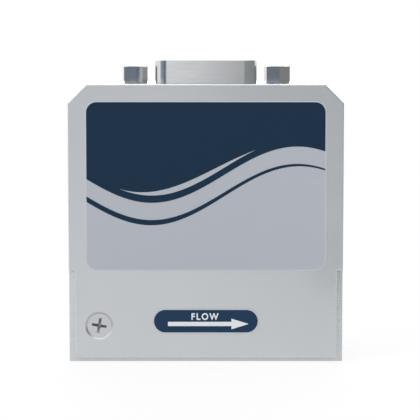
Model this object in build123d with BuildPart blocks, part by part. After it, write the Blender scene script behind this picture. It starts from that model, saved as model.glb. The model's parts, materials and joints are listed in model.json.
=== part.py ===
from build123d import *
import math
import os

# Compact gas mass flow controller. Millimetres. Gas flows towards +X, the front
# faces -Y and +Z is up. The origin is the middle of the underside.

# Fits
cover_gap = 0.05        # cover over the block, all round
fit_gap = 0.02          # pieces pushed into a seat
run_gap = 0.05          # plunger in its guide tube, radial
thread_gap = 0.05       # screw shank in its tapped hole, radial
hole_gap = 0.1          # loose holes, radial

# Cover, a thin hood open underneath
wall = 1.0
corner_cut = 3.2        # 45 degree corners at the top
edge_round = 0.25
tongue_lift = 0.8       # the front and rear tongues end this far above the base
connector_gap = 0.3     # round the connector in the cover's top
flange_drop = 0.8       # connector flange below the cover's top wall

# Block, full width below the cover's side walls and narrower inside them
skirt_height = 15.8
deck_rise = 2.8
block_round = 0.15
block_chamfer = 0.4

# Gas ports, 1/8 inch parallel pipe thread, drawn at the thread's root bore
port_d = 8.57
port_face_d = 13.4
port_face_depth = 0.3
port_mouth_d = 10.2

# Passages
channel_d = 6.0
tap_d = 1.0
tap_spacing = 8.0
tap_land = 0.5
outlet_d = 3.2
passage_land = 0.4
riser_d = 1.6
riser_land = 0.5

# Inlet screen, its snap ring and the flow element
screen_d = 7.4
screen_thickness = 0.3
mesh_pitch = 1.0
mesh_hole = 0.6
mesh_rows = 3           # each side of the middle one
ring_thickness = 0.6
ring_wall = 0.8
element_gap = 0.3
element_hole_d = 0.8
element_pitch = 1.2

# Sensor stage
slot_width = 2.6
slot_depth = 1.0
groove_land = 0.6
groove_width = 1.0
groove_depth = 0.7
board_edge = 0.8
sensor_board_thickness = 1.0
chip_length = 3.0
chip_height = 0.6
chip_side_gap = 0.2
sensor_clamp_thickness = 1.5
window_width = 4.6
window_length = 9.0
sensor_screw_inset = 1.8
sensor_screw_reach = 2.2
sensor_edge = 2.0

# Small cross recessed screws
m2_d = 2.0
m2_head_d = 3.4
m2_head_height = 1.3
m25_d = 2.5
m25_head_d = 4.4
m25_head_height = 1.5
sensor_screw_length = 6.0
clamp_screw_length = 5.5
board_screw_length = 5.5
head_edge = 0.4
tapped_spare = 0.6      # tapped holes go this much deeper than their screws
tapped_mouth = 0.3      # and open this much wider at the face
recess_share = 0.63     # cross recess over head diameter
recess_slot = 0.45
recess_tip = 0.1         # blunt end of the recess, radius
recess_depth = 1.6
recess_taper = 5        # degrees

# Valve, normally closed
seat_d = 4.4
seat_land = 0.4
orifice_d = 1.0
lip_d = 1.8
lip_rise = 1.0
chamber_land = 0.2
plunger_d = 6.5
plunger_spring_d = 3.2
spring_pocket = 3.6
stroke = 0.4
stroke_spare = 0.05
seat_clear = 0.03       # pad above the closed seat, so that the two never overlap
pad_d = 3.6
pad_thickness = 1.4
pad_proud = 0.2
tube_wall = 0.4
collar_gap = 0.2
seal_section = 1.3
flange_land = 0.6
flange_thickness = 1.5
core_length = 6.6
stud_d = 4.0
nut_flats = 7.0
nut_height = 2.0
stud_end = 0.3
spring_wire = 0.3
spring_mean_d = 2.3
spring_turns = 4
clamp_thickness = 1.5
clamp_edge = 1.6
yoke_thickness = 1.2
yoke_land = 1.28
yoke_bend = 0.5
winding_depth = 2.08
coil_height = 10.7
bobbin_wall = 0.6
bobbin_flange = 0.8
winding_inset = 0.4     # winding below the bobbin's flanges
head_gap = 0.2
coil_pin_d = 0.6
coil_pin_end = 0.6

# Posts, main board and what it carries
post_size = 4.0
post_edge = 1.05
post_gap = 0.6
post_stud = 3.5
post_hole_depth = 6.1
stage_gap = 1.2
clamp_margin = 2.95
board_thickness = 1.6
board_inset = 0.75
board_corner = 1.0
board_clear = 1.2       # main board above the valve's stud
header_pitch = 1.27
header_pins = 5
header_pin = 0.5
header_width = 2.2
header_clear = 0.7      # between its socket and the connector's board lock
header_height = 2.0
socket_height = 2.4
processor_side = 7.0
processor_height = 1.0
driver_length = 5.0
driver_width = 4.0
driver_height = 1.5
chip_gap = 0.6
capacitor_d = 4.0
capacitor_height = 5.4
capacitor_spacing = 5.2

# Nine-way connector with hexagonal jack posts
jack_reach = 3.595      # from the shell's ends out to the jack posts' axes
flange_ear = 2.905      # flange past those axes
connector_flange_depth = 12.5
flange_corner = 1.6
flange_thin = 0.6       # each of its two steel flanges
connector_rise = 6.3    # flange underside above the main board
shell_width = 17.8      # across its two rounded ends
shell_depth = 9.2
shell_slope = 10        # degrees, ends of the D
shell_corner = 2.2
shell_wall = 0.45
shell_height = 5.92
rear_skirt = 4.0
rear_shell_shrink = 0.5
insulator_rise = 0.6
pin_pitch = 2.77
pin_row_gap = 2.84
pin_d = 1.0
pin_rise = 5.2
tail_d = 0.7
tail_end = 0.8
hex_flats = 4.15
hex_height = 4.76
hex_turn = 9            # degrees
jack_thread_d = 2.84
jack_bore_d = 2.3
jack_bore_depth = 4.2
jack_stud = 6.0
spacer_d = 5.0
lock_d = 3.0
lock_slot = 0.6
lock_end = 0.8

# Cover screws, one low on the front and one in the same place on the rear
cover_screw_inset = 5.2
cover_screw_height = 6.32
countersink_d = 4.8
cover_head_d = 4.15
cover_screw_length = 4.4
cover_recess_turn = -10

# Labels
label_side = 2.96
label_drop = 2.8
label_height = 29.0
label_corner = 1.95
label_thickness = 0.15
flow_label_width = 18.35
flow_label_height = 4.45
flow_label_z = 7.13
flow_label_thickness = 0.1

# Base holes
base_spacing_x = 26.0
base_spacing_y = 16.0
base_thread_d = 2.5
base_thread_depth = 4.5

# Across the flow: what stands on the deck sets the width and the depth
collar_d = 2 * (seat_d / 2 + riser_land + riser_d + chamber_land - collar_gap)
chamber_d = collar_d + 2 * collar_gap
seal_recess_d = collar_d + 2 * (seal_section + 2 * fit_gap)
flange_d = seal_recess_d + 2 * flange_land
tube_bore = plunger_d + 2 * run_gap
tube_od = tube_bore + 2 * tube_wall
yoke_width = tube_od + 2 * (fit_gap + yoke_land)
bobbin_bore = tube_od + 2 * fit_gap
coil_d = bobbin_bore + 2 * (bobbin_wall + winding_depth + winding_inset)
clamp_screw_offset = max(
    yoke_width / 2 + head_gap + m2_head_d / 2,
    (coil_d / 2 + m2_head_d / 2 + head_gap) / math.sqrt(2),
    (flange_d / 2 + m2_d / 2 + flange_land) / math.sqrt(2),
)
clamp_side = 2 * (clamp_screw_offset + clamp_edge)

slot_length = tap_spacing + slot_width
groove_length = slot_length + 2 * (groove_land + groove_width)
groove_outer = slot_width + 2 * (groove_land + groove_width)
sensor_length = groove_length + 2 * board_edge
sensor_screw_y = groove_outer / 2 + sensor_screw_reach
sensor_depth = 2 * (sensor_screw_y + sensor_edge)
sensor_screw_x = sensor_length / 2 - sensor_screw_inset

end_room = post_edge + post_size + post_gap
deck_width = 2 * end_room + sensor_length + stage_gap + clamp_side
yoke_side = coil_d + 2 * (yoke_bend + yoke_thickness)
deck_depth = max(clamp_side, sensor_depth, yoke_side) + 2 * clamp_margin
body_width = deck_width + 2 * (wall + cover_gap)
body_depth = deck_depth + 2 * (wall + cover_gap)
block_depth = deck_depth
sensor_x = end_room + sensor_length / 2 - deck_width / 2
valve_x = deck_width / 2 - end_room - clamp_side / 2
post_x = deck_width / 2 - post_edge - post_size / 2
post_y = deck_depth / 2 - post_edge - post_size / math.sqrt(3)

# Heights, from the ports up
port_z = skirt_height / 2
deck_z = skirt_height + deck_rise
chamber_floor = port_z + channel_d / 2 + passage_land
seat_floor = port_z + outlet_d / 2 + seat_land
lip_z = chamber_floor + lip_rise
flange_floor = deck_z - flange_thickness
seal_floor = flange_floor - seal_section - 2 * fit_gap
clamp_top = deck_z + clamp_thickness
yoke_base = clamp_top + yoke_thickness
coil_top = yoke_base + coil_height + 2 * fit_gap
yoke_top = coil_top + yoke_thickness
nut_top = yoke_top + nut_height
board_z = nut_top + stud_end + board_clear
board_top = board_z + board_thickness
flange_under = board_top + connector_rise
flange_top = flange_under + 2 * flange_thin
cover_inside = flange_top + flange_drop
body_height = cover_inside + wall
core_bottom = coil_top - core_length
plunger_bottom = lip_z + seat_clear + pad_proud
plunger_top = core_bottom - stroke - stroke_spare
sensor_board_top = deck_z + sensor_board_thickness
sensor_clamp_top = sensor_board_top + sensor_clamp_thickness

# Along the flow
upstream_tap = sensor_x - tap_spacing / 2
downstream_tap = sensor_x + tap_spacing / 2
screen_seat = screen_thickness + ring_thickness + 2 * fit_gap
seat_end = upstream_tap - tap_d / 2 - tap_land
port_end = seat_end - screen_seat
port_depth = port_end + body_width / 2
riser_x = valve_x - seat_d / 2 - riser_land - riser_d / 2
channel_end = riser_x + riser_d / 2
element_length = tap_spacing - tap_d - 2 * element_gap
outlet_start = valve_x - outlet_d / 2

connector_wide = -1     # the wide side of the D and the row of five face the front
half_width = body_width / 2
half_depth = body_depth / 2

FRONT = Plane(origin=(0, -half_depth, 0), x_dir=(1, 0, 0), z_dir=(0, -1, 0))
REAR = Plane(origin=(0, half_depth, 0), x_dir=(-1, 0, 0), z_dir=(0, 1, 0))
cover_screw_x = cover_screw_inset - half_width
cover_head_sunk = (countersink_d - cover_head_d) / 2 - fit_gap
screw_seats = [
    Plane(origin=face.from_local_coords((cover_screw_x, cover_screw_height, 0)),
          x_dir=face.x_dir, z_dir=face.z_dir)
    for face in (FRONT, REAR)
]
post_places = [(x, y) for x in (-post_x, post_x) for y in (-post_y, post_y)]
sensor_screws = [
    (sensor_x + sx * sensor_screw_x, sy * sensor_screw_y) for sx in (-1, 1) for sy in (-1, 1)
]
clamp_screws = [
    (valve_x + sx * clamp_screw_offset, sy * clamp_screw_offset)
    for sx in (-1, 1)
    for sy in (-1, 1)
]
screw_spacing = shell_width + 2 * jack_reach
connector_flange_width = screw_spacing + 2 * flange_ear
jack_places = [(-screw_spacing / 2, 0), (screw_spacing / 2, 0)]
shell_base = shell_width + 2 * shell_corner * (math.tan(math.radians(45 + shell_slope / 2)) - 1)
valve_section = Plane(origin=(valve_x, 0, 0), x_dir=(1, 0, 0), z_dir=(0, -1, 0))
valve_axis = Axis((valve_x, 0, 0), (0, 0, 1))
coil_pin_reach = yoke_width / 2 + coil_pin_d
coil_pin_side = math.sqrt((coil_d / 2 - coil_pin_d) ** 2 - coil_pin_reach**2)
coil_pins_at = [(valve_x + coil_pin_reach, side) for side in (-coil_pin_side, coil_pin_side)]
five_row = [((i - 2) * pin_pitch, connector_wide * pin_row_gap / 2) for i in range(5)]
four_row = [((i - 1.5) * pin_pitch, -connector_wide * pin_row_gap / 2) for i in range(4)]
contact_places = five_row + four_row
header_x = lock_d / 2 + header_clear + header_width / 2 + hole_gap - screw_spacing / 2
header_places = [
    (header_x, (i - (header_pins - 1) / 2) * header_pitch) for i in range(header_pins)
]


def save(piece, name):
    piece.part.label = name
    export_step(piece.part, f"parts/{name}.step")


def d_outline(grow=0.0):
    # The connector's D, grown or shrunk evenly from the shell's outside.
    with BuildSketch() as outline:
        Trapezoid(shell_base, shell_depth, 90 - shell_slope)
        fillet(outline.vertices(), shell_corner)
        if grow:
            offset(amount=grow)
    return outline.sketch


def cross_recess(head_d, turn=0):
    # A cross recess hanging from the origin, its four ends leaning in to the middle.
    mouth = head_d * recess_share
    with BuildPart() as recess:
        with BuildSketch():
            Rectangle(mouth, recess_slot, rotation=turn)
            Rectangle(recess_slot, mouth, rotation=turn)
            Circle(recess_slot)
        extrude(amount=-recess_depth, taper=recess_taper)
        Cone(
            recess_tip,
            mouth / 2,
            recess_depth,
            align=(Align.CENTER, Align.CENTER, Align.MAX),
            mode=Mode.INTERSECT,
        )
    return recess.part


def pan_screw(shank_d, head_d, head_height, length):
    # A cross recessed screw: the head stands on the origin, the shank hangs below.
    recess = cross_recess(head_d)
    with BuildPart() as screw:
        with BuildSketch():
            Circle(head_d / 2)
        extrude(amount=head_height)
        chamfer(screw.edges().group_by(Axis.Z)[-1], head_edge)
        with BuildSketch():
            Circle(shank_d / 2 - thread_gap)
        extrude(amount=-length)
        with Locations((0, 0, head_height)):
            add(recess, mode=Mode.SUBTRACT)
    return screw.part


os.makedirs("parts", exist_ok=True)

# Block: a plain bar with a narrower deck, bored from both ends and from above
with BuildPart() as flow_block:
    with BuildSketch():
        Rectangle(body_width, block_depth)
    extrude(amount=skirt_height)
    fillet(flow_block.edges().filter_by(Axis.Z), block_round)
    with BuildSketch(Plane.XY.offset(skirt_height)):
        RectangleRounded(deck_width, deck_depth, block_chamfer)
    extrude(amount=deck_rise)
    chamfer(flow_block.faces().sort_by(Axis.Z)[-1].edges(), block_chamfer)
    chamfer(flow_block.faces().sort_by(Axis.Z)[0].edges(), block_round)
    # Ports, both ends alike
    for end, start in ((-1, -half_width), (1, half_width)):
        with BuildSketch(Plane(origin=(start, 0, port_z), z_dir=(end, 0, 0))):
            Circle(port_face_d / 2)
        extrude(amount=-port_face_depth, mode=Mode.SUBTRACT)
        with BuildSketch(Plane(origin=(start, 0, port_z), z_dir=(end, 0, 0))):
            Circle(port_d / 2)
        extrude(amount=-port_depth, mode=Mode.SUBTRACT)
        mouth = Plane(origin=(start - end * port_face_depth, 0, port_z), z_dir=(-end, 0, 0))
        with Locations(mouth):
            Cone(
                port_mouth_d / 2,
                port_d / 2,
                (port_mouth_d - port_d) / 2,
                align=(Align.CENTER, Align.CENTER, Align.MIN),
                mode=Mode.SUBTRACT,
            )
    # Screen seat, main channel, riser to the valve and the way out
    with BuildSketch(Plane(origin=(port_end, 0, port_z), z_dir=(1, 0, 0))):
        Circle(screen_d / 2)
    extrude(amount=screen_seat, mode=Mode.SUBTRACT)
    with BuildSketch(Plane(origin=(port_end, 0, port_z), z_dir=(1, 0, 0))):
        Circle(channel_d / 2)
    extrude(amount=channel_end - port_end, mode=Mode.SUBTRACT)
    with BuildSketch(Plane(origin=(outlet_start, 0, port_z), z_dir=(1, 0, 0))):
        Circle(outlet_d / 2)
    extrude(amount=half_width - port_depth - outlet_start, mode=Mode.SUBTRACT)
    with BuildSketch(Plane.XY.offset(port_z)):
        with Locations((riser_x, 0)):
            Circle(riser_d / 2)
    extrude(amount=chamber_floor - port_z, mode=Mode.SUBTRACT)
    with BuildSketch(Plane.XY.offset(port_z)):
        with Locations((valve_x, 0)):
            Circle(outlet_d / 2 - chamber_land)
    extrude(amount=seat_floor - port_z, mode=Mode.SUBTRACT)
    # Valve pocket, stepped: seat, chamber, seal and flange
    for bore_d, floor in (
        (seat_d, seat_floor),
        (chamber_d, chamber_floor),
        (seal_recess_d, seal_floor),
        (flange_d + 2 * fit_gap, flange_floor),
    ):
        with BuildSketch(Plane.XY.offset(floor)):
            with Locations((valve_x, 0)):
                Circle(bore_d / 2)
        extrude(amount=deck_z - floor, mode=Mode.SUBTRACT)
    # Sensor slot, its gasket groove and the two taps
    with BuildSketch(Plane.XY.offset(deck_z)):
        with Locations((sensor_x, 0)):
            SlotOverall(slot_length, slot_width)
    extrude(amount=-slot_depth, mode=Mode.SUBTRACT)
    with BuildSketch(Plane.XY.offset(deck_z)):
        with Locations((sensor_x, 0)):
            SlotOverall(groove_length, groove_outer)
            SlotOverall(
                slot_length + 2 * groove_land, slot_width + 2 * groove_land, mode=Mode.SUBTRACT
            )
    extrude(amount=-groove_depth, mode=Mode.SUBTRACT)
    with BuildSketch(Plane.XY.offset(port_z)):
        with Locations((upstream_tap, 0), (downstream_tap, 0)):
            Circle(tap_d / 2)
    extrude(amount=deck_z - port_z, mode=Mode.SUBTRACT)
    # Tapped holes for the sensor clamp, the valve clamp, the posts and the base
    with Locations(*[(x, y, deck_z) for x, y in sensor_screws]):
        Hole(
            m2_d / 2,
            depth=sensor_screw_length
            - sensor_clamp_thickness
            - sensor_board_thickness
            + tapped_spare,
        )
    with Locations(*[(x, y, deck_z) for x, y in clamp_screws]):
        Hole(m2_d / 2, depth=clamp_screw_length - clamp_thickness + tapped_spare)
    with Locations(*[(x, y, deck_z) for x, y in post_places]):
        Hole(m25_d / 2, depth=post_stud + tapped_spare)
    with BuildSketch():
        with GridLocations(base_spacing_x, base_spacing_y, 2, 2):
            Circle(base_thread_d / 2)
    extrude(amount=base_thread_depth, mode=Mode.SUBTRACT)
    # Tapped holes for the cover screws, front and rear
    with Locations(*[seat.offset(-wall - cover_gap) for seat in screw_seats]):
        CounterSinkHole(
            m25_d / 2,
            m25_d / 2 + tapped_mouth,
            depth=cover_screw_length - wall + tapped_spare,
            counter_sink_angle=90,
        )
save(flow_block, "flow_block")

# Cover: a hood with 45 degree corners whose front and rear run on down as tongues
tongue_half = half_width - wall
inner_cut = corner_cut - wall * (2 - math.sqrt(2))
with BuildPart() as cover:
    with BuildSketch(Plane.XZ):
        with BuildLine():
            Polyline(
                (tongue_half, tongue_lift),
                (tongue_half, skirt_height + cover_gap),
                (half_width, skirt_height + cover_gap),
                (half_width, body_height - corner_cut),
                (half_width - corner_cut, body_height),
                (corner_cut - half_width, body_height),
                (-half_width, body_height - corner_cut),
                (-half_width, skirt_height + cover_gap),
                (-tongue_half, skirt_height + cover_gap),
                (-tongue_half, tongue_lift),
                close=True,
            )
        make_face()
    extrude(amount=half_depth, both=True)
    long_edges = cover.edges().filter_by(Axis.Y).group_by(Axis.Z)
    face_edges = (
        cover.faces().sort_by(Axis.Y)[0].edges() + cover.faces().sort_by(Axis.Y)[-1].edges()
    )
    fillet(long_edges[-1] + long_edges[-2] + face_edges, edge_round)
    # The inside, and the sides away below the skirt
    with BuildSketch(Plane.XZ):
        with BuildLine():
            Polyline(
                (tongue_half, skirt_height - wall),
                (tongue_half, cover_inside - inner_cut),
                (tongue_half - inner_cut, cover_inside),
                (inner_cut - tongue_half, cover_inside),
                (-tongue_half, cover_inside - inner_cut),
                (-tongue_half, skirt_height - wall),
                close=True,
            )
        make_face()
    extrude(amount=half_depth - wall, both=True, mode=Mode.SUBTRACT)
    with BuildSketch(Plane.XY.offset(skirt_height + cover_gap)):
        Rectangle(body_width, body_depth - 2 * wall)
    extrude(amount=-skirt_height, mode=Mode.SUBTRACT)
    # Openings for the connector and its jack posts
    with BuildSketch(Plane.XY.offset(cover_inside)):
        add(d_outline(connector_gap))
        with Locations(*jack_places):
            Circle(hex_flats / math.sqrt(3) + connector_gap)
    extrude(amount=wall, mode=Mode.SUBTRACT)
    with Locations(*screw_seats):
        CounterSinkHole(
            m25_d / 2 + hole_gap, countersink_d / 2, depth=wall, counter_sink_angle=90
        )
save(cover, "cover")

# Cover screws, countersunk heads a little below the cover's face
head_cone = (cover_head_d - m25_d) / 2 + thread_gap
cover_recess = cross_recess(cover_head_d, cover_recess_turn)
with BuildPart() as cover_screws:
    for seat in screw_seats:
        with BuildSketch(seat.offset(-cover_head_sunk)):
            Circle(cover_head_d / 2)
        extrude(amount=-head_cone, taper=45)
        with BuildSketch(seat.offset(-cover_head_sunk)):
            Circle(m25_d / 2 - thread_gap)
        extrude(amount=-cover_screw_length)
        with Locations(seat.offset(-cover_head_sunk)):
            add(cover_recess, mode=Mode.SUBTRACT)
save(cover_screws, "cover_screws")

# Labels, thin film on the cover's front
with BuildPart() as front_label:
    with BuildSketch(FRONT):
        with Locations((0, body_height - label_drop - label_height / 2)):
            RectangleRounded(body_width - 2 * label_side, label_height, label_corner)
    extrude(amount=label_thickness)
save(front_label, "front_label")

with BuildPart() as flow_label:
    with BuildSketch(FRONT):
        with Locations((0, flow_label_z)):
            SlotOverall(flow_label_width, flow_label_height)
    extrude(amount=flow_label_thickness)
save(flow_label, "flow_label")

# Inlet screen, a perforated disc, and the snap ring that holds it
screen_plane = Plane(origin=(seat_end - fit_gap, 0, port_z), z_dir=(-1, 0, 0))
open_radius = screen_d / 2 - ring_wall - mesh_hole
mesh_places = [
    (i * mesh_pitch, j * mesh_pitch)
    for i in range(-mesh_rows, mesh_rows + 1)
    for j in range(-mesh_rows, mesh_rows + 1)
    if math.hypot(i, j) * mesh_pitch <= open_radius
]
with BuildPart() as inlet_screen:
    with BuildSketch(screen_plane):
        Circle(screen_d / 2 - fit_gap)
        with Locations(*mesh_places):
            Rectangle(mesh_hole, mesh_hole, mode=Mode.SUBTRACT)
    extrude(amount=screen_thickness)
save(inlet_screen, "inlet_screen")

with BuildPart() as screen_ring:
    with BuildSketch(screen_plane.offset(screen_thickness)):
        Circle(screen_d / 2 - fit_gap)
        Circle(screen_d / 2 - ring_wall, mode=Mode.SUBTRACT)
        with Locations((0, -screen_d / 2)):
            Rectangle(ring_wall, screen_d / 2, mode=Mode.SUBTRACT)
    extrude(amount=ring_thickness)
save(screen_ring, "screen_ring")

# Flow element: a plug with straight bores that makes the sensor's pressure drop
element_start = upstream_tap + tap_d / 2 + element_gap
with BuildPart() as flow_element:
    with BuildSketch(Plane(origin=(element_start, 0, port_z), z_dir=(1, 0, 0))):
        Circle(channel_d / 2 - fit_gap)
        Circle(element_hole_d / 2, mode=Mode.SUBTRACT)
        with PolarLocations(element_pitch, 6):
            Circle(element_hole_d / 2, mode=Mode.SUBTRACT)
        with PolarLocations(2 * element_pitch, 12):
            Circle(element_hole_d / 2 - fit_gap, mode=Mode.SUBTRACT)
    extrude(amount=element_length)
save(flow_element, "flow_element")

# Sensor board over the slot, the chip under it in the gas, its gasket and clamp
with BuildPart() as sensor_gasket:
    with BuildSketch(Plane.XY.offset(deck_z - groove_depth)):
        with Locations((sensor_x, 0)):
            SlotOverall(groove_length - 2 * fit_gap, groove_outer - 2 * fit_gap)
            SlotOverall(
                slot_length + 2 * (groove_land + fit_gap),
                slot_width + 2 * (groove_land + fit_gap),
                mode=Mode.SUBTRACT,
            )
    extrude(amount=groove_depth)
save(sensor_gasket, "sensor_gasket")

with BuildPart() as sensor_board:
    with BuildSketch(Plane.XY.offset(deck_z)):
        with Locations((sensor_x, 0)):
            RectangleRounded(sensor_length, sensor_depth, board_corner)
        with Locations(*sensor_screws):
            Circle(m2_d / 2 + hole_gap, mode=Mode.SUBTRACT)
    extrude(amount=sensor_board_thickness)
save(sensor_board, "sensor_board")

with BuildPart() as sensor_chip:
    with BuildSketch(Plane.XY.offset(deck_z - chip_height)):
        with Locations((sensor_x, 0)):
            Rectangle(chip_length, slot_width - 2 * chip_side_gap)
    extrude(amount=chip_height)
save(sensor_chip, "sensor_chip")

with BuildPart() as sensor_clamp:
    with BuildSketch(Plane.XY.offset(sensor_board_top)):
        with Locations((sensor_x, 0)):
            RectangleRounded(sensor_length, sensor_depth, board_corner)
        with Locations((header_x, 0)):
            Rectangle(window_width, window_length, mode=Mode.SUBTRACT)
        with Locations(*sensor_screws):
            Circle(m2_d / 2 + hole_gap, mode=Mode.SUBTRACT)
    extrude(amount=sensor_clamp_thickness)
save(sensor_clamp, "sensor_clamp")

sensor_screw = pan_screw(m2_d, m2_head_d, m2_head_height, sensor_screw_length)
with BuildPart() as sensor_clamp_screws:
    with Locations(*[(x, y, sensor_clamp_top) for x, y in sensor_screws]):
        add(sensor_screw)
save(sensor_clamp_screws, "sensor_clamp_screws")

# Header between the sensor board and the main board
header_length = (header_pins + 1) * header_pitch
with BuildPart() as sensor_header:
    with BuildSketch(Plane.XY.offset(sensor_board_top)):
        with Locations((header_x, 0)):
            Rectangle(header_width, header_length)
        with Locations(*header_places):
            Rectangle(header_pin, header_pin, mode=Mode.SUBTRACT)
    extrude(amount=header_height)
save(sensor_header, "sensor_header")

with BuildPart() as header_socket:
    with BuildSketch(Plane.XY.offset(board_z)):
        with Locations((header_x, 0)):
            Rectangle(header_width + 2 * hole_gap, header_length)
        with Locations(*header_places):
            Rectangle(header_pin, header_pin, mode=Mode.SUBTRACT)
    extrude(amount=-socket_height)
save(header_socket, "header_socket")

with BuildPart() as header_contacts:
    with BuildSketch(Plane.XY.offset(sensor_board_top)):
        with Locations(*header_places):
            Rectangle(header_pin, header_pin)
    extrude(amount=board_z - sensor_board_top)
save(header_contacts, "header_contacts")

# Valve seat, guide tube and fixed core
with BuildPart() as valve_seat:
    with BuildSketch(valve_section):
        with BuildLine():
            Polyline(
                (orifice_d / 2, seat_floor),
                (seat_d / 2 - fit_gap, seat_floor),
                (seat_d / 2 - fit_gap, chamber_floor),
                (lip_d / 2 + lip_rise / 2, chamber_floor),
                (lip_d / 2, lip_z),
                (orifice_d / 2, lip_z),
                close=True,
            )
        make_face()
    revolve(axis=valve_axis)
save(valve_seat, "valve_seat")

with BuildPart() as guide_tube:
    with BuildSketch(valve_section):
        with BuildLine():
            Polyline(
                (tube_bore / 2, seal_floor),
                (collar_d / 2, seal_floor),
                (collar_d / 2, flange_floor),
                (flange_d / 2, flange_floor),
                (flange_d / 2, deck_z),
                (tube_od / 2, deck_z),
                (tube_od / 2, coil_top),
                (tube_bore / 2, coil_top),
                close=True,
            )
        make_face()
    revolve(axis=valve_axis)
save(guide_tube, "guide_tube")

seal_radius = (collar_d + seal_section) / 2 + fit_gap
with BuildPart() as tube_seal:
    with Locations((valve_x, 0, seal_floor + fit_gap + seal_section / 2)):
        Torus(seal_radius, seal_section / 2)
save(tube_seal, "tube_seal")

with BuildPart() as fixed_core:
    with BuildSketch(valve_section):
        with BuildLine():
            Polyline(
                (0, core_bottom),
                (tube_bore / 2 - fit_gap, core_bottom),
                (tube_bore / 2 - fit_gap, coil_top),
                (stud_d / 2 - fit_gap, coil_top),
                (stud_d / 2 - fit_gap, nut_top + stud_end),
                (0, nut_top + stud_end),
                close=True,
            )
        make_face()
    revolve(axis=valve_axis)
save(fixed_core, "fixed_core")

# The moving plunger with its pad, and the spring that shuts it
with BuildPart() as plunger:
    with BuildSketch(valve_section):
        with BuildLine():
            Polyline(
                (0, plunger_bottom + pad_thickness - pad_proud),
                (pad_d / 2, plunger_bottom + pad_thickness - pad_proud),
                (pad_d / 2, plunger_bottom),
                (plunger_d / 2, plunger_bottom),
                (plunger_d / 2, plunger_top),
                (plunger_spring_d / 2, plunger_top),
                (plunger_spring_d / 2, plunger_top - spring_pocket),
                (0, plunger_top - spring_pocket),
                close=True,
            )
        make_face()
    revolve(axis=valve_axis)
save(plunger, "plunger")

with BuildPart() as seat_pad:
    with BuildSketch(Plane.XY.offset(plunger_bottom - pad_proud)):
        with Locations((valve_x, 0)):
            Circle(pad_d / 2 - fit_gap)
    extrude(amount=pad_thickness)
save(seat_pad, "seat_pad")

spring_foot = plunger_top - spring_pocket + spring_wire / 2 + fit_gap
spring_length = core_bottom - spring_wire / 2 - fit_gap - spring_foot
with BuildPart() as return_spring:
    with BuildLine():
        Helix(
            spring_length / spring_turns,
            spring_length,
            spring_mean_d / 2,
            center=(valve_x, 0, spring_foot),
        )
    with BuildSketch(
        Plane(origin=(valve_x + spring_mean_d / 2, 0, spring_foot), z_dir=(0, 1, 0))
    ):
        Circle(spring_wire / 2)
    sweep(is_frenet=True)
save(return_spring, "return_spring")

# Clamp plate, coil on its bobbin, yoke and nut
with BuildPart() as valve_clamp:
    with BuildSketch(Plane.XY.offset(deck_z)):
        with Locations((valve_x, 0)):
            RectangleRounded(clamp_side, clamp_side, board_corner)
            Circle(tube_od / 2 + hole_gap, mode=Mode.SUBTRACT)
        with Locations(*clamp_screws):
            Circle(m2_d / 2 + hole_gap, mode=Mode.SUBTRACT)
    extrude(amount=clamp_thickness)
save(valve_clamp, "valve_clamp")

clamp_screw = pan_screw(m2_d, m2_head_d, m2_head_height, clamp_screw_length)
with BuildPart() as valve_clamp_screws:
    with Locations(*[(x, y, clamp_top) for x, y in clamp_screws]):
        add(clamp_screw)
save(valve_clamp_screws, "valve_clamp_screws")

bobbin_foot = yoke_base + fit_gap
bobbin_top = bobbin_foot + coil_height
with BuildPart() as coil_bobbin:
    with BuildSketch(valve_section):
        with BuildLine():
            Polyline(
                (bobbin_bore / 2, bobbin_foot),
                (coil_d / 2, bobbin_foot),
                (coil_d / 2, bobbin_foot + bobbin_flange),
                (bobbin_bore / 2 + bobbin_wall, bobbin_foot + bobbin_flange),
                (bobbin_bore / 2 + bobbin_wall, bobbin_top - bobbin_flange),
                (coil_d / 2, bobbin_top - bobbin_flange),
                (coil_d / 2, bobbin_top),
                (bobbin_bore / 2, bobbin_top),
                close=True,
            )
        make_face()
    revolve(axis=valve_axis)
    with Locations(*[(x, y, bobbin_top) for x, y in coil_pins_at]):
        Hole(coil_pin_d / 2, depth=bobbin_flange)
save(coil_bobbin, "coil_bobbin")

with BuildPart() as coil_winding:
    with BuildSketch(Plane.XY.offset(bobbin_foot + bobbin_flange)):
        with Locations((valve_x, 0)):
            Circle(coil_d / 2 - winding_inset)
            Circle(bobbin_bore / 2 + bobbin_wall, mode=Mode.SUBTRACT)
    extrude(amount=coil_height - 2 * bobbin_flange)
save(coil_winding, "coil_winding")

with BuildPart() as coil_terminals:
    with BuildSketch(Plane.XY.offset(bobbin_top - bobbin_flange)):
        with Locations(*coil_pins_at):
            Circle(coil_pin_d / 2)
    extrude(amount=board_top + coil_pin_end - bobbin_top + bobbin_flange)
save(coil_terminals, "coil_terminals")

with BuildPart() as valve_yoke:
    with BuildSketch(Plane(origin=(valve_x, 0, 0), x_dir=(0, 1, 0), z_dir=(1, 0, 0))):
        with Locations((0, (clamp_top + yoke_top) / 2)):
            RectangleRounded(
                yoke_side,
                yoke_top - clamp_top,
                yoke_bend + yoke_thickness,
            )
            RectangleRounded(
                coil_d + 2 * yoke_bend, coil_top - yoke_base, yoke_bend, mode=Mode.SUBTRACT
            )
    extrude(amount=yoke_width / 2, both=True)
    with BuildSketch(Plane.XY.offset(clamp_top)):
        with Locations((valve_x, 0)):
            Circle(tube_od / 2 + fit_gap)
    extrude(amount=yoke_thickness, mode=Mode.SUBTRACT)
    with BuildSketch(Plane.XY.offset(coil_top)):
        with Locations((valve_x, 0)):
            Circle(stud_d / 2 + hole_gap)
    extrude(amount=yoke_thickness, mode=Mode.SUBTRACT)
save(valve_yoke, "valve_yoke")

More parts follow.
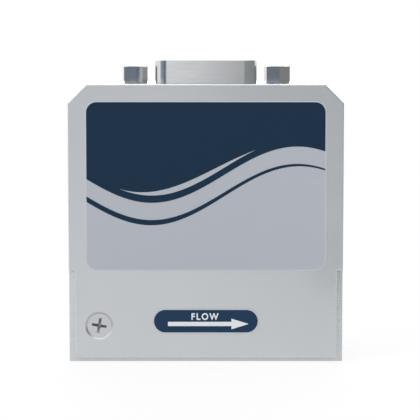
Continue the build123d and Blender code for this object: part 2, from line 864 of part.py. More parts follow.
with BuildPart() as core_nut:
    with BuildSketch(Plane.XY.offset(yoke_top)):
        with Locations((valve_x, 0)):
            RegularPolygon(nut_flats / 2, 6, major_radius=False)
            Circle(stud_d / 2, mode=Mode.SUBTRACT)
    extrude(amount=nut_height)
save(core_nut, "core_nut")

# Four hexagonal posts with a stud below and a tapped hole above
with BuildPart() as board_posts:
    with BuildSketch(Plane.XY.offset(deck_z)):
        with Locations(*post_places):
            RegularPolygon(post_size / 2, 6, major_radius=False, rotation=30)
    extrude(amount=board_z - deck_z)
    with Locations(*[(x, y, board_z) for x, y in post_places]):
        Hole(m25_d / 2, depth=post_hole_depth)
    with BuildSketch(Plane.XY.offset(deck_z)):
        with Locations(*post_places):
            Circle(m25_d / 2 - thread_gap)
    extrude(amount=-post_stud)
save(board_posts, "board_posts")

with BuildPart() as main_board:
    with BuildSketch(Plane.XY.offset(board_z)):
        RectangleRounded(
            deck_width - 2 * board_inset, deck_depth - 2 * board_inset, board_corner
        )
        with Locations(*post_places):
            Circle(m25_d / 2 + hole_gap, mode=Mode.SUBTRACT)
        with Locations(*contact_places):
            Circle(tail_d / 2 + hole_gap, mode=Mode.SUBTRACT)
        with Locations(*coil_pins_at):
            Circle(coil_pin_d / 2 + hole_gap, mode=Mode.SUBTRACT)
        with Locations(*jack_places):
            Circle(lock_d / 2 + hole_gap, mode=Mode.SUBTRACT)
    extrude(amount=board_thickness)
save(main_board, "main_board")

board_screw = pan_screw(m25_d, m25_head_d, m25_head_height, board_screw_length)
with BuildPart() as board_screws:
    with Locations(*[(x, y, board_top) for x, y in post_places]):
        add(board_screw)
save(board_screws, "board_screws")

chips_from_x = header_x + header_width / 2 + hole_gap + chip_gap
chips_from_y = (pin_row_gap + pin_d) / 2 + chip_gap
with BuildPart() as processor:
    with BuildSketch(Plane.XY.offset(board_z)):
        with Locations((chips_from_x, chips_from_y)):
            Rectangle(processor_side, processor_side, align=(Align.MIN, Align.MIN))
    extrude(amount=-processor_height)
    chamfer(processor.edges().filter_by(Axis.Z), chip_gap)
save(processor, "processor")

with BuildPart() as driver_chips:
    with BuildSketch(Plane.XY.offset(board_z)):
        with Locations(
            (chips_from_x, -chips_from_y),
            (chips_from_x + driver_length + chip_gap, -chips_from_y),
        ):
            Rectangle(driver_length, driver_width, align=(Align.MIN, Align.MAX))
    extrude(amount=-driver_height)
save(driver_chips, "driver_chips")

with BuildPart() as capacitors:
    with BuildSketch(Plane.XY.offset(board_top)):
        with Locations((-post_x, -capacitor_spacing / 2), (-post_x, capacitor_spacing / 2)):
            Circle(capacitor_d / 2)
    extrude(amount=capacitor_height)
save(capacitors, "capacitors")

# Connector: two drawn steel shells, the moulding between them, pins and jack posts
with BuildPart() as connector_shell:
    with BuildSketch(Plane.XY.offset(flange_top - flange_thin)):
        RectangleRounded(connector_flange_width, connector_flange_depth, flange_corner)
        with Locations(*jack_places):
            Circle(jack_thread_d / 2 + hole_gap, mode=Mode.SUBTRACT)
    extrude(amount=flange_thin)
    with BuildSketch(Plane.XY.offset(flange_top)):
        add(d_outline())
    extrude(amount=shell_height)
    with BuildSketch(Plane.XY.offset(flange_top - flange_thin)):
        add(d_outline(-shell_wall))
    extrude(amount=shell_height + flange_thin, mode=Mode.SUBTRACT)
    rim = connector_shell.faces().sort_by(Axis.Z)[-1]
    fillet(rim.outer_wire().edges(), shell_wall / 2)
save(connector_shell, "connector_shell")

with BuildPart() as connector_rear_shell:
    with BuildSketch(Plane.XY.offset(flange_under)):
        RectangleRounded(connector_flange_width, connector_flange_depth, flange_corner)
        with Locations(*jack_places):
            Circle(jack_thread_d / 2 + hole_gap, mode=Mode.SUBTRACT)
    extrude(amount=flange_thin)
    with BuildSketch(Plane.XY.offset(flange_under)):
        add(d_outline(-rear_shell_shrink))
    extrude(amount=-rear_skirt)
    with BuildSketch(Plane.XY.offset(flange_under + flange_thin)):
        add(d_outline(-rear_shell_shrink - shell_wall))
    extrude(amount=-flange_thin - rear_skirt, mode=Mode.SUBTRACT)
save(connector_rear_shell, "connector_rear_shell")

with BuildPart() as connector_insulator:
    with BuildSketch(Plane.XY.offset(board_top)):
        add(d_outline(-rear_shell_shrink - shell_wall - fit_gap))
    extrude(amount=flange_top + insulator_rise - board_top)
    with BuildSketch(Plane.XY.offset(board_top)):
        with Locations(*contact_places):
            Circle(pin_d / 2)
    extrude(amount=flange_top + insulator_rise - board_top, mode=Mode.SUBTRACT)
save(connector_insulator, "connector_insulator")

with BuildPart() as connector_pins:
    with BuildSketch(Plane.XY.offset(board_top)):
        with Locations(*contact_places):
            Circle(pin_d / 2)
    extrude(amount=flange_top + pin_rise - board_top)
    chamfer(connector_pins.faces().group_by(Axis.Z)[-1].edges(), pin_d / 4)
    with BuildSketch(Plane.XY.offset(board_top)):
        with Locations(*contact_places):
            Circle(tail_d / 2)
    extrude(amount=-board_thickness - tail_end)
save(connector_pins, "connector_pins")

with BuildPart() as connector_spacers:
    with BuildSketch(Plane.XY.offset(board_top)):
        with Locations(*jack_places):
            Circle(spacer_d / 2)
    extrude(amount=connector_rise)
    with BuildSketch(Plane.XY.offset(board_top)):
        with Locations(*jack_places):
            Circle(lock_d / 2)
    extrude(amount=-board_thickness - lock_end)
    with BuildSketch(Plane.XY.offset(board_top)):
        with Locations(*jack_places):
            Rectangle(lock_slot, lock_d)
    extrude(amount=-board_thickness - lock_end, mode=Mode.SUBTRACT)
    with Locations(*[(x, y, flange_under) for x, y in jack_places]):
        Hole(jack_thread_d / 2 + thread_gap, depth=connector_rise)
save(connector_spacers, "connector_spacers")

with BuildPart() as jack_posts:
    with BuildSketch(Plane.XY.offset(flange_top)):
        with Locations(*jack_places):
            RegularPolygon(hex_flats / 2, 6, major_radius=False, rotation=30 + hex_turn)
    extrude(amount=hex_height)
    with BuildSketch(Plane.XY.offset(flange_top)):
        with Locations(*jack_places):
            Circle(jack_thread_d / 2)
    extrude(amount=-jack_stud)
    with Locations(*[(x, y, flange_top + hex_height) for x, y in jack_places]):
        CounterSinkHole(jack_bore_d / 2, jack_thread_d / 2 + hole_gap, depth=jack_bore_depth)
save(jack_posts, "jack_posts")
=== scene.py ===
# Looks of a compact gas mass flow controller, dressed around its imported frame.
import json
import math
import bpy
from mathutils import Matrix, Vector


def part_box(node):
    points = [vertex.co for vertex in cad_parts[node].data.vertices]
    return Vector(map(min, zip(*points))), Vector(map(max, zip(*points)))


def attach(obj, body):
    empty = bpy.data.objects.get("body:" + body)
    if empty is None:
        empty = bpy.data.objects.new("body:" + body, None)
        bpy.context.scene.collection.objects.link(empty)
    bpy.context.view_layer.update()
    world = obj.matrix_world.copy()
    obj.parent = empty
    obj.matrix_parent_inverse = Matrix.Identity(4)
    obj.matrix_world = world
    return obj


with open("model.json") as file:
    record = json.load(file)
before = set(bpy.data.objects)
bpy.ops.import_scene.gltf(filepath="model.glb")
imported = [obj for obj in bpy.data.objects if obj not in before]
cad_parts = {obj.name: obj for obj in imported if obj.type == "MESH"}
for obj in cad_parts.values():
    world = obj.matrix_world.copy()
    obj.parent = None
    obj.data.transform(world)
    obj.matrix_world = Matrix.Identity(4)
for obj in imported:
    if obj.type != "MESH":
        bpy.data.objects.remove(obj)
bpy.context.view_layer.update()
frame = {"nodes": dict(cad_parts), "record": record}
print("frame loaded:", len(frame["nodes"]), "nodes")

mm = 0.001
bumpMm = 0.02     # how deep a bump of full strength stands, in every fine texture


# Small helpers: colours, nodes, meshes

def linearColour(hexCode):
    # sRGB hex to the linear values that the shaders want
    channels = [int(hexCode[i:i + 2], 16) / 255 for i in (1, 3, 5)]
    return [c / 12.92 if c <= 0.04045 else ((c + 0.055) / 1.055) ** 2.4 for c in channels] + [1.0]


def addNode(tree, kind, settings=None, links=None):
    # one node, its settings by attribute or input name, its links by input name
    node = tree.nodes.new(kind)
    for name, value in (settings or {}).items():
        if isinstance(name, str) and hasattr(node, name):
            setattr(node, name, value)
        else:
            node.inputs[name].default_value = value
    for name, output in (links or {}).items():
        tree.links.new(output, node.inputs[name])
    return node


def newMaterial(name):
    material = bpy.data.materials.new(name)
    material.use_nodes = True
    material.node_tree.nodes.clear()
    tree = material.node_tree
    place = addNode(tree, "ShaderNodeTexCoord").outputs["Object"]
    return material, tree, place


def finishMaterial(tree, shader):
    addNode(tree, "ShaderNodeOutputMaterial", links={"Surface": shader.outputs["BSDF"]})


def perMetre(sizeMm):
    # noise and wave scales: how many features of this size fit in a metre
    return 1000.0 / sizeMm


def meshPiece(name, points, faces, material):
    mesh = bpy.data.meshes.new(name)
    mesh.from_pydata([Vector(p) * mm for p in points], [], faces)
    mesh.validate()
    piece = bpy.data.objects.new(name, mesh)
    bpy.context.scene.collection.objects.link(piece)
    mesh.materials.append(material)
    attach(piece, "housing")
    return piece


# Metals

satinAluminium = {
    "colour": "#C9CCCF",
    "shade": "#C3C6CA",
    "roughness": 0.42,
    "roughSpread": 0.04,
    "grainMm": 0.25,      # the real blasted grain is 0.05 mm, drawn coarser to show
    "grainBump": 0.05,
    "cloudMm": 14,
    "oxideIor": 1.62,     # the clear anodic layer, which turns white at grazing angles
    "oxideRoughness": 0.12,
}


def blastedAnodisedAluminium():
    # bead blasted and clear anodised: an even silver satin with a very fine grain
    look = satinAluminium
    material, tree, place = newMaterial("blastedAnodisedAluminium")
    clouds = addNode(tree, "ShaderNodeTexNoise",
                     {"Scale": perMetre(look["cloudMm"]), "Detail": 2}, {"Vector": place})
    grain = addNode(tree, "ShaderNodeTexNoise",
                    {"Scale": perMetre(look["grainMm"]), "Detail": 3}, {"Vector": place})
    tone = addNode(tree, "ShaderNodeMixRGB", {"Color1": linearColour(look["colour"]),
                   "Color2": linearColour(look["shade"])}, {"Fac": clouds.outputs["Fac"]})
    rough = addNode(tree, "ShaderNodeMapRange",
                    {"To Min": look["roughness"] - look["roughSpread"],
                     "To Max": look["roughness"] + look["roughSpread"]},
                    {"Value": grain.outputs["Fac"]})
    bump = addNode(tree, "ShaderNodeBump",
                   {"Strength": look["grainBump"], "Distance": bumpMm * mm},
                   {"Height": grain.outputs["Fac"]})
    shader = addNode(tree, "ShaderNodeBsdfPrincipled",
                     {"Metallic": 1.0, "Coat Weight": 1.0, "Coat IOR": look["oxideIor"],
                      "Coat Roughness": look["oxideRoughness"]},
                     {"Base Color": tone.outputs["Color"], "Roughness": rough.outputs["Result"],
                      "Normal": bump.outputs["Normal"]})
    finishMaterial(tree, shader)
    return material


milledBlock = {
    "colour": "#CBCDCF",
    "groove": "#C3C6C8",
    "roughness": 0.27,
    "roughSpread": 0.03,
    "millMm": 0.3,        # feed marks, about 0.1 mm on the real block
    "bump": 0.03,
    "alongFlow": 0.03,    # the marks' scale along the flow, so they run long
    "metallic": 0.7,      # the rest is light scattered in the oxide layer
    "oxideIor": 1.62,
}


def milledAnodisedAluminium():
    # milled and clear anodised: long fine feed marks along the flow
    look = milledBlock
    material, tree, place = newMaterial("milledAnodisedAluminium")
    stretched = addNode(tree, "ShaderNodeMapping",
                        {"Scale": (look["alongFlow"], 1.0, 1.0)}, {"Vector": place})
    marks = addNode(tree, "ShaderNodeTexNoise",
                    {"Scale": perMetre(look["millMm"]), "Detail": 4},
                    {"Vector": stretched.outputs["Vector"]})
    tone = addNode(tree, "ShaderNodeMixRGB", {"Color1": linearColour(look["colour"]),
                   "Color2": linearColour(look["groove"])}, {"Fac": marks.outputs["Fac"]})
    rough = addNode(tree, "ShaderNodeMapRange",
                    {"To Min": look["roughness"] - look["roughSpread"],
                     "To Max": look["roughness"] + look["roughSpread"]},
                    {"Value": marks.outputs["Fac"]})
    bump = addNode(tree, "ShaderNodeBump", {"Strength": look["bump"], "Distance": bumpMm * mm},
                   {"Height": marks.outputs["Fac"]})
    shader = addNode(tree, "ShaderNodeBsdfPrincipled",
                     {"Metallic": look["metallic"], "IOR": look["oxideIor"]},
                     {"Base Color": tone.outputs["Color"], "Roughness": rough.outputs["Result"],
                      "Normal": bump.outputs["Normal"]})
    finishMaterial(tree, shader)
    return material


steelAcross = 0.15              # the marks' scale across the axis, against 1 along it
steelSpread = (-0.04, 0.05)     # how far the roughness goes below and above its own value

steelLooks = {
    # name: colour, darker tone, roughness, mark size in mm, bump
    "turnedStainlessSteel": {"colour": "#D0D0D3", "shade": "#BFC0C4", "roughness": 0.34,
                             "markMm": 0.3, "bump": 0.06},
    "turnedMagneticSteel": {"colour": "#B4B5B7", "shade": "#A2A3A6", "roughness": 0.38,
                            "markMm": 0.4, "bump": 0.08},
    "drawnTinnedSteel": {"colour": "#DBDDDF", "shade": "#D4D6D9", "roughness": 0.18,
                         "markMm": 0.5, "bump": 0.03},
    "platedNickelSteel": {"colour": "#D2D1CF", "shade": "#CAC9C8", "roughness": 0.12,
                          "markMm": 0.4, "bump": 0.03},
    "turnedBrass": {"colour": "#D8BC78", "shade": "#C9A964", "roughness": 0.3,
                    "markMm": 0.3, "bump": 0.06},
    "platedGold": {"colour": "#E6C36A", "shade": "#DDB559", "roughness": 0.2,
                   "markMm": 0.4, "bump": 0.02},
    "drawnAluminiumCan": {"colour": "#CDCED0", "shade": "#C3C4C6", "roughness": 0.3,
                          "markMm": 0.5, "bump": 0.04},
}


def workedMetal(name):
    # bright metal with fine marks from the lathe, the die or the plating bath
    look = steelLooks[name]
    material, tree, place = newMaterial(name)
    flat = addNode(tree, "ShaderNodeMapping",
                   {"Scale": (steelAcross, steelAcross, 1.0)}, {"Vector": place})
    marks = addNode(tree, "ShaderNodeTexNoise",
                    {"Scale": perMetre(look["markMm"]), "Detail": 3},
                    {"Vector": flat.outputs["Vector"]})
    tone = addNode(tree, "ShaderNodeMixRGB", {"Color1": linearColour(look["colour"]),
                   "Color2": linearColour(look["shade"])}, {"Fac": marks.outputs["Fac"]})
    rough = addNode(tree, "ShaderNodeMapRange",
                    {"To Min": look["roughness"] + steelSpread[0],
                     "To Max": look["roughness"] + steelSpread[1]},
                    {"Value": marks.outputs["Fac"]})
    bump = addNode(tree, "ShaderNodeBump", {"Strength": look["bump"], "Distance": bumpMm * mm},
                   {"Height": marks.outputs["Fac"]})
    shader = addNode(tree, "ShaderNodeBsdfPrincipled", {"Metallic": 1.0},
                     {"Base Color": tone.outputs["Color"], "Roughness": rough.outputs["Result"],
                      "Normal": bump.outputs["Normal"]})
    finishMaterial(tree, shader)
    return material


# Plastics, rubber, boards and print

plainSpread = 0.05

plainLooks = {
    # name: colour, second tone, roughness, pattern size in mm, bump, IOR, gloss
    "mouldedBlackNylon": {"colour": "#17181A", "shade": "#1E1F22", "roughness": 0.55,
                          "patternMm": 0.3, "bump": 0.15, "ior": 1.53, "gloss": 0.4},
    "mouldedSealRubber": {"colour": "#141414", "shade": "#1C1B1B", "roughness": 0.75,
                          "patternMm": 0.25, "bump": 0.2, "ior": 1.5, "gloss": 0.3},
    "solderMaskedLaminate": {"colour": "#17552F", "shade": "#1E6438", "roughness": 0.35,
                             "patternMm": 0.8, "bump": 0.1, "ior": 1.55, "gloss": 0.5},
    "mouldedChipEpoxy": {"colour": "#1B1B1D", "shade": "#232325", "roughness": 0.6,
                         "patternMm": 0.2, "bump": 0.2, "ior": 1.55, "gloss": 0.4},
    "woundEnamelledCopper": {"colour": "#9A4A22", "shade": "#7C3818", "roughness": 0.3,
                             "patternMm": 0.25, "bump": 0.5, "ior": 1.5, "gloss": 0.5},
    "clearLabelFilm": {"colour": "#B9BDC1", "shade": "#B5B9BD", "roughness": 0.42,
                       "patternMm": 0.3, "bump": 0.02, "ior": 1.57, "gloss": 0.2},
    "paleLabelInk": {"colour": "#A8ACB4", "shade": "#A4A8B0", "roughness": 0.42,
                     "patternMm": 0.3, "bump": 0.02, "ior": 1.57, "gloss": 0.2},
    "navyLabelInk": {"colour": "#1D3145", "shade": "#1B2E41", "roughness": 0.42,
                     "patternMm": 0.3, "bump": 0.02, "ior": 1.57, "gloss": 0.03},
    "navyFlowInk": {"colour": "#243C54", "shade": "#213850", "roughness": 0.42,
                    "patternMm": 0.3, "bump": 0.02, "ior": 1.57, "gloss": 0.03},
    "whiteLabelInk": {"colour": "#DBDDE1", "shade": "#D6D8DD", "roughness": 0.45,
                      "patternMm": 0.3, "bump": 0.02, "ior": 1.57, "gloss": 0.2},
}


def plainSurface(name):
    # moulded or printed surfaces: two close tones and a fine even texture
    look = plainLooks[name]
    material, tree, place = newMaterial(name)
    speckle = addNode(tree, "ShaderNodeTexNoise",
                      {"Scale": perMetre(look["patternMm"]), "Detail": 3}, {"Vector": place})
    tone = addNode(tree, "ShaderNodeMixRGB", {"Color1": linearColour(look["colour"]),
                   "Color2": linearColour(look["shade"])}, {"Fac": speckle.outputs["Fac"]})
    rough = addNode(tree, "ShaderNodeMapRange",
                    {"To Min": look["roughness"] - plainSpread,
                     "To Max": look["roughness"] + plainSpread},
                    {"Value": speckle.outputs["Fac"]})
    bump = addNode(tree, "ShaderNodeBump", {"Strength": look["bump"], "Distance": bumpMm * mm},
                   {"Height": speckle.outputs["Fac"]})
    shader = addNode(tree, "ShaderNodeBsdfPrincipled",
                     {"IOR": look["ior"], "Specular IOR Level": look["gloss"]},
                     {"Base Color": tone.outputs["Color"], "Roughness": rough.outputs["Result"],
                      "Normal": bump.outputs["Normal"]})
    finishMaterial(tree, shader)
    return material


finishes = {name: workedMetal(name) for name in steelLooks}
finishes.update({name: plainSurface(name) for name in plainLooks})
finishes["blastedAnodisedAluminium"] = blastedAnodisedAluminium()
finishes["milledAnodisedAluminium"] = milledAnodisedAluminium()

finishOfSlot = {
    "anodised_aluminium": "blastedAnodisedAluminium",
    "machined_aluminium": "milledAnodisedAluminium",
    "stainless_steel": "turnedStainlessSteel",
    "magnetic_steel": "turnedMagneticSteel",
    "tinned_steel": "drawnTinnedSteel",
    "nickel_plated_steel": "platedNickelSteel",
    "label_film": "clearLabelFilm",
    "black_moulding": "mouldedBlackNylon",
    "gold_plated_brass": "platedGold",
    "plain_brass": "turnedBrass",
    "enamelled_copper": "woundEnamelledCopper",
    "seal_rubber": "mouldedSealRubber",
    "circuit_board": "solderMaskedLaminate",
    "chip_package": "mouldedChipEpoxy",
    "capacitor_can": "drawnAluminiumCan",
}

for subpart in frame["record"]["subparts"]:
    node = frame["nodes"][subpart["node"]]
    finish = finishes[finishOfSlot[subpart["material_slot"]]]
    if not node.material_slots:
        node.data.materials.append(finish)
    for slot in node.material_slots:
        slot.material = finish
print("finishes given to the frame's nodes")


# Print on the front label: a pale field under a navy one, parted by a wave

inkBite = 0.001     # mm, how far each layer of print sinks into the one under it

waveLabel = {
    "inkMm": 0.012,
    "margin": 0.2,           # film left bare all round the print
    "corner": 1.75,
    "middle": 32.3,          # height of the wave's middle above the base
    "swing": 4.8,
    "halfWave": 24.8,
    "crossing": 3.2,         # where the wave rises through its middle
    "bandDrop": 2.95,        # pale band under the navy field
    "stripe": 0.95,          # thin navy stripe under the band, at its thickest
    "stripeEnd": 0.3,        # share of that thickness left at the right end
    "sliverFrom": -14.6,
    "sliverTo": 8.4,
    "sliverRise": 1.25,
    "sliverThick": 1.0,
    "sliverEnd": 0.02,
    "sliverTaper": 1.2,      # above 1 draws the sliver's ends out to points
    "steps": 120,
}


def inkPiece(name, heights, faceY, thickness, material):
    # a thin layer of print, from a list of (x, low, high) across it
    points, faces = [], []
    for x, low, high in heights:
        for y in (faceY + inkBite, faceY - thickness):
            points += [(x, y, low), (x, y, high)]
    count = len(heights)
    for i in range(count - 1):
        a, b = 4 * i, 4 * i + 4
        faces += [(a + 2, b + 2, b + 3, a + 3), (a, a + 1, b + 1, b),
                  (a, b, b + 2, a + 2), (a + 1, a + 3, b + 3, b + 1)]
    last = 4 * (count - 1)
    faces += [(0, 2, 3, 1), (last, last + 1, last + 3, last + 2)]
    return meshPiece(name, points, faces, material)


def wave(x):
    look = waveLabel
    turn = math.pi * (x - look["crossing"]) / look["halfWave"]
    return look["middle"] + look["swing"] * math.sin(turn)


def acrossLabel(left, right, steps):
    # more steps near the ends, where the corners are round
    shares = [(1 - math.cos(math.pi * i / steps)) / 2 for i in range(steps + 1)]
    return [left + (right - left) * share for share in shares]


def roundedTop(x, left, right, top, corner):
    inset = max(left + corner - x, x - right + corner, 0)
    return top - corner + math.sqrt(max(corner * corner - inset * inset, 0))


def printLabel():
    look = waveLabel
    low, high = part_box("front_label")
    left, right = low.x / mm + look["margin"], high.x / mm - look["margin"]
    foot, top = low.z / mm + look["margin"], high.z / mm - look["margin"]
    faceY, ink = low.y / mm, look["inkMm"]
    navy, pale = finishes["navyLabelInk"], finishes["paleLabelInk"]
    ground, field, stripe, sliver = [], [], [], []
    for x in acrossLabel(left, right, look["steps"]):
        edge = roundedTop(x, left, right, 0, look["corner"])
        share = (x - left) / (right - left)
        taper = (1 - look["stripeEnd"]) * math.cos(math.pi * share / 2)
        thick = look["stripe"] * (look["stripeEnd"] + taper)
        band = wave(x) - look["bandDrop"]
        ground.append((x, foot - edge, top + edge))
        field.append((x, wave(x), top + edge))
        stripe.append((x, band - thick, band))
    for x in acrossLabel(look["sliverFrom"], look["sliverTo"], look["steps"] // 2):
        share = (x - look["sliverFrom"]) / (look["sliverTo"] - look["sliverFrom"])
        swell = math.sin(math.pi * share) ** look["sliverTaper"]
        thick = look["sliverEnd"] + look["sliverThick"] * swell
        rise = wave(x) + look["sliverRise"]
        sliver.append((x, rise, rise + thick))
    inkPiece("label_pale_field", ground, faceY, ink, pale)
    inkPiece("label_navy_field", field, faceY - ink, ink, navy)
    inkPiece("label_navy_stripe", stripe, faceY - ink, ink, navy)
    inkPiece("label_pale_sliver", sliver, faceY - 2 * ink, ink, pale)


# Print on the flow label: navy pill, an arrow and the word FLOW

flowLabel = {
    "inkMm": 0.012,
    "margin": 0.28,
    "shaft": (-6.5, 4.38),   # arrow's shaft, left and right
    "shaftHeight": 0.74,
    "headTo": 7.3,
    "headHeight": 1.84,
    "barbStep": 0.001,       # the head opens from shaft to full height over this
    "tipHeight": 0.04,
    "arrowDrop": 0.48,       # arrow below the label's middle
    "wordCentre": -0.14,
    "wordRise": 0.8,         # word's middle above the label's middle
    "capHeight": 1.2,
    "wordWidth": 4.67,
    "spacing": 1.3,
    "boldness": 0.03,        # how far the strokes are thickened, as a share of the font size
    "steps": 96,
}


def printFlowLabel():
    look = flowLabel
    low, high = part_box("flow_label")
    faceY = low.y / mm
    middle = (low.z + high.z) / 2 / mm
    half = (high.z - low.z) / 2 / mm - look["margin"]
    left, right = low.x / mm + look["margin"], high.x / mm - look["margin"]
    pill = []
    for x in acrossLabel(left, right, look["steps"]):
        rise = roundedTop(x, left, right, half, half)
        pill.append((x, middle - rise, middle + rise))
    inkPiece("flow_navy_field", pill, faceY, look["inkMm"], finishes["navyFlowInk"])
    axis = middle - look["arrowDrop"]
    shaftFrom, shaftTo = look["shaft"]
    outline = ((shaftFrom, look["shaftHeight"]), (shaftTo, look["shaftHeight"]),
               (shaftTo + look["barbStep"], look["headHeight"]),
               (look["headTo"], look["tipHeight"]))
    arrow = [(x, axis - height / 2, axis + height / 2) for x, height in outline]
    inkPiece("flow_arrow", arrow, faceY - look["inkMm"], look["inkMm"], finishes["whiteLabelInk"])
    # the word, from Blender's own font; any depth will do, as it is scaled to the ink's
    curve = bpy.data.curves.new("flowWord", "FONT")
    curve.body = "FLOW"
    curve.align_x = "LEFT"
    curve.extrude = 0.02
    curve.offset = look["boldness"]
    curve.space_character = look["spacing"]
    word = bpy.data.objects.new("flowWord", curve)
    bpy.context.scene.collection.objects.link(word)
    bpy.context.view_layer.update()
    mesh = bpy.data.meshes.new_from_object(word)
    bpy.data.objects.remove(word)
    xs = [v.co.x for v in mesh.vertices]
    ys = [v.co.y for v in mesh.vertices]
    zs = [v.co.z for v in mesh.vertices]
    wide, tall, deep = max(xs) - min(xs), max(ys) - min(ys), max(zs) - min(zs)
    wordLeft = look["wordCentre"] - look["wordWidth"] / 2
    points = [((v.co.x - min(xs)) / wide * look["wordWidth"] + wordLeft,
               faceY - look["inkMm"] - (v.co.z - min(zs)) / deep * look["inkMm"],
               middle + look["wordRise"] + ((v.co.y - min(ys)) / tall - 0.5) * look["capHeight"])
              for v in mesh.vertices]
    faces = [tuple(p.vertices) for p in mesh.polygons]
    bpy.data.meshes.remove(mesh)
    meshPiece("flow_word", points, faces, finishes["whiteLabelInk"])


printLabel()
printFlowLabel()
print("labels printed")


# Threads, as helical ridges standing in from the bores

threads = {
    # mm: pitch, depth, turns, and how far in from the bore's mouth the thread starts
    "port": {"pitch": 0.907, "depth": 0.34, "turns": 7, "startsIn": 0.2},
    "base": {"pitch": 0.5, "depth": 0.16, "turns": 8, "startsIn": 0.1},
    "jack": {"pitch": 0.635, "depth": 0.14, "turns": 5, "startsIn": 0.1},
    "steps": 40,        # to the turn
    "fadeSteps": 10,    # over which each end runs out
    "root": 0.02,       # how far the ridge's foot stands in the bore's wall
}


def threadRidge(name, start, axis, radius, size, material):
    # start: centre of the bore where the thread begins; axis: unit vector into the bore
    look = threads[size]
    foot = radius + threads["root"]
    fadeSteps = threads["fadeSteps"]
    axis = Vector(axis)
    side = axis.orthogonal().normalized()
    other = axis.cross(side)
    points, faces = [], []
    total = look["turns"] * threads["steps"]
    for i in range(total + 1):
        angle = 2 * math.pi * i / threads["steps"]
        along = look["pitch"] * i / threads["steps"]
        out = side * math.cos(angle) + other * math.sin(angle)
        fade = min(1, i / fadeSteps, (total - i) / fadeSteps)
        for offset, reach in ((0, foot), (0.5, radius - look["depth"] * fade), (1, foot)):
            points.append(Vector(start) + axis * (along + look["pitch"] * offset) + out * reach)
    for i in range(total):
        a, b = 3 * i, 3 * i + 3
        faces += [(a, b, b + 1, a + 1), (a + 1, b + 1, b + 2, a + 2), (a, a + 2, b + 2, b)]
    faces += [(0, 1, 2), (3 * total, 3 * total + 2, 3 * total + 1)]
    return meshPiece(name, points, faces, material)


def cutThreads():
    aluminium = finishes["milledAnodisedAluminium"]
    for mount in frame["record"]["mounts"]:
        if mount["name"] in ("inlet_port", "outlet_port"):
            axis = Vector(mount["axis"])
            mouth = Vector(mount["pos_m"]) / mm + axis * mount["dims"]["length_mm"] / 2
            threadRidge(mount["name"] + "_thread", mouth - axis * threads["port"]["startsIn"],
                        -axis, mount["dims"]["r_mm"], "port", aluminium)
        if mount["name"].endswith("jack_thread"):
            axis = Vector(mount["axis"])
            mouth = Vector(mount["pos_m"]) / mm + axis * mount["dims"]["length_mm"] / 2
            threadRidge(mount["name"], mouth - axis * threads["jack"]["startsIn"], -axis,
                        mount["dims"]["r_mm"], "jack", finishes["platedNickelSteel"])
        if mount["name"] == "base_holes":
            dims = mount["dims"]
            for i, (sx, sy) in enumerate(((-1, -1), (1, -1), (-1, 1), (1, 1))):
                start = (sx * dims["spacing_x_mm"] / 2, sy * dims["spacing_y_mm"] / 2,
                         threads["base"]["startsIn"])
                threadRidge(f"base_thread_{i + 1}", start, (0, 0, 1), dims["hole_r_mm"], "base",
                            aluminium)


cutThreads()
print("threads cut")


# Camera: where the photograph's own camera stood, fitted to the part's edges

cameraPlace = {
    "lens": 160.7,                        # mm
    "sensor": 36,                         # mm wide
    "stand": (0.71, -331.15, 54.53),      # mm
    "tiltDown": 5.07,                     # degrees
    "nearest": 0.01,                      # m
}


def placeCamera():
    camera = bpy.data.objects.new("camera", bpy.data.cameras.new("camera"))
    bpy.context.scene.collection.objects.link(camera)
    camera.data.lens = cameraPlace["lens"]
    camera.data.sensor_width = cameraPlace["sensor"]
    camera.data.clip_start = cameraPlace["nearest"]
    camera.location = Vector(cameraPlace["stand"]) * mm
    camera.rotation_euler = (math.radians(90 - cameraPlace["tiltDown"]), 0, 0)
    bpy.context.scene.camera = camera


# Studio: pale floor, white surroundings, soft lamps, and grey cards that metal reflects

studio = {
    "floorSize": 6.0,
    "floorColour": "#FFFFFF",
    "floorGlow": 0.84,         # share of the floor by the part that shows as plain white
    "floorFade": 0.35,         # m, all of it is plain white from here on
    "ambient": 0.5,
    "lamps": {
        # name: place in m, aim in m, size in m, power in W, colour
        "frontLeftLamp": ((-1.2, -0.9, 0.7), (0, 0, 0.03), 0.7, 11.0, "#FFFFFF"),
        "frontRightLamp": ((0.5, -1.2, 0.7), (0, 0, 0.03), 0.8, 3.2, "#FFFFFF"),
        "topLamp": ((0, 0.1, 1.4), (0, 0, 0), 1.6, 4.6, "#FFFFFF"),
        "backLamp": ((0, 1.3, 0.5), (0, 0, 0.03), 0.9, 14.0, "#FFFFFF"),
    },
    "cardSteps": 16,
    "cards": {
        # name: from and to in degrees left (-) or right (+) of the front, distance and
        # height in m, colour
        "farLeftCard": (-67, -36, 0.3, 0.3, "#7E8B99"),
        "nearLeftCard": (-36, -15, 0.3, 0.3, "#5A6875"),
        "rightCard": (0.8, 112, 0.3, 0.3, "#959797"),
        "lowRightCard": (12, 20, 0.11, 0.014, "#1E1F20"),
    },
}


def backgroundRays(tree):
    # 1 for camera, glossy and transmission rays
    path = addNode(tree, "ShaderNodeLightPath")
    first = addNode(tree, "ShaderNodeMath", {"operation": "MAXIMUM"},
                    {0: path.outputs["Is Camera Ray"], 1: path.outputs["Is Glossy Ray"]})
    return addNode(tree, "ShaderNodeMath", {"operation": "MAXIMUM"},
                   {0: first.outputs[0], 1: path.outputs["Is Transmission Ray"]}).outputs[0]


def stageMesh(name, points, faces, material):
    mesh = bpy.data.meshes.new(name)
    mesh.from_pydata(points, [], faces)
    mesh.materials.append(material)
    stageObject = bpy.data.objects.new(name, mesh)
    bpy.context.scene.collection.objects.link(stageObject)
    return stageObject


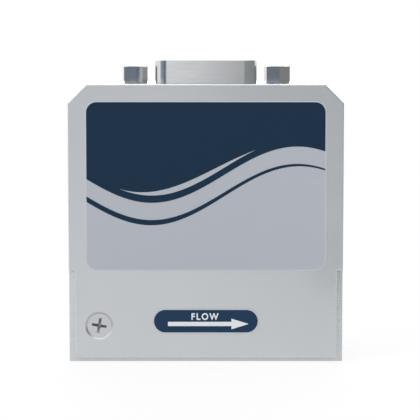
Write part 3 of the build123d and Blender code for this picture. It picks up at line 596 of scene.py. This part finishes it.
def layFloor():
    half = studio["floorSize"] / 2
    material, tree, place = newMaterial("paintedStudioFloor")
    away = addNode(tree, "ShaderNodeVectorMath", {"operation": "LENGTH"}, {0: place})
    near = addNode(tree, "ShaderNodeMapRange",
                   {"From Min": 0.0, "From Max": studio["floorFade"],
                    "To Min": studio["floorGlow"], "To Max": 1.0},
                   {"Value": away.outputs["Value"]})
    paint = addNode(tree, "ShaderNodeBsdfDiffuse", {"Color": linearColour(studio["floorColour"])})
    white = addNode(tree, "ShaderNodeEmission", {"Strength": 1.0})
    share = addNode(tree, "ShaderNodeMath", {"operation": "MULTIPLY"},
                    {0: backgroundRays(tree), 1: near.outputs["Result"]})
    mix = addNode(tree, "ShaderNodeMixShader", links={0: share.outputs[0],
                  1: paint.outputs["BSDF"], 2: white.outputs["Emission"]})
    addNode(tree, "ShaderNodeOutputMaterial", links={"Surface": mix.outputs["Shader"]})
    corners = [(-half, -half, 0), (half, -half, 0), (half, half, 0), (-half, half, 0)]
    stageMesh("floor", corners, [(0, 1, 2, 3)], material)


def hangCards():
    # seen only in reflections, as dark cards are used to give bright metal its edges
    steps = studio["cardSteps"]
    for name, (start, end, radius, height, colour) in studio["cards"].items():
        material, tree = newMaterial(name + "Paper")[:2]
        tone = addNode(tree, "ShaderNodeEmission", {"Color": linearColour(colour), "Strength": 1.0})
        addNode(tree, "ShaderNodeOutputMaterial", links={"Surface": tone.outputs["Emission"]})
        points = []
        for i in range(steps + 1):
            angle = math.radians(start + (end - start) * i / steps)
            x, y = math.sin(angle) * radius, -math.cos(angle) * radius
            points += [(x, y, 0), (x, y, height)]
        faces = [(2 * i, 2 * i + 2, 2 * i + 3, 2 * i + 1) for i in range(steps)]
        card = stageMesh(name, points, faces, material)
        card.visible_camera = False
        card.visible_diffuse = False
        card.visible_shadow = False
        card.visible_transmission = False


def lightStudio():
    world = bpy.data.worlds.new("studio")
    bpy.context.scene.world = world
    world.use_nodes = True
    tree = world.node_tree
    tree.nodes.clear()
    white = addNode(tree, "ShaderNodeBackground", {"Color": (1, 1, 1, 1), "Strength": 1.0})
    ambient = addNode(tree, "ShaderNodeBackground",
                      {"Color": (1, 1, 1, 1), "Strength": studio["ambient"]})
    mix = addNode(tree, "ShaderNodeMixShader", links={0: backgroundRays(tree),
                  1: ambient.outputs["Background"], 2: white.outputs["Background"]})
    addNode(tree, "ShaderNodeOutputWorld", links={"Surface": mix.outputs["Shader"]})
    for name, (place, aim, size, power, colour) in studio["lamps"].items():
        data = bpy.data.lights.new(name, "AREA")
        data.size = size
        data.energy = power
        data.color = linearColour(colour)[:3]
        lamp = bpy.data.objects.new(name, data)
        bpy.context.scene.collection.objects.link(lamp)
        lamp.location = place
        lamp.rotation_euler = (Vector(aim) - Vector(place)).to_track_quat("-Z", "Y").to_euler()


placeCamera()
layFloor()
hangCards()
lightStudio()
bpy.context.scene.view_settings.view_transform = "Standard"
print("camera, floor and lamps placed")
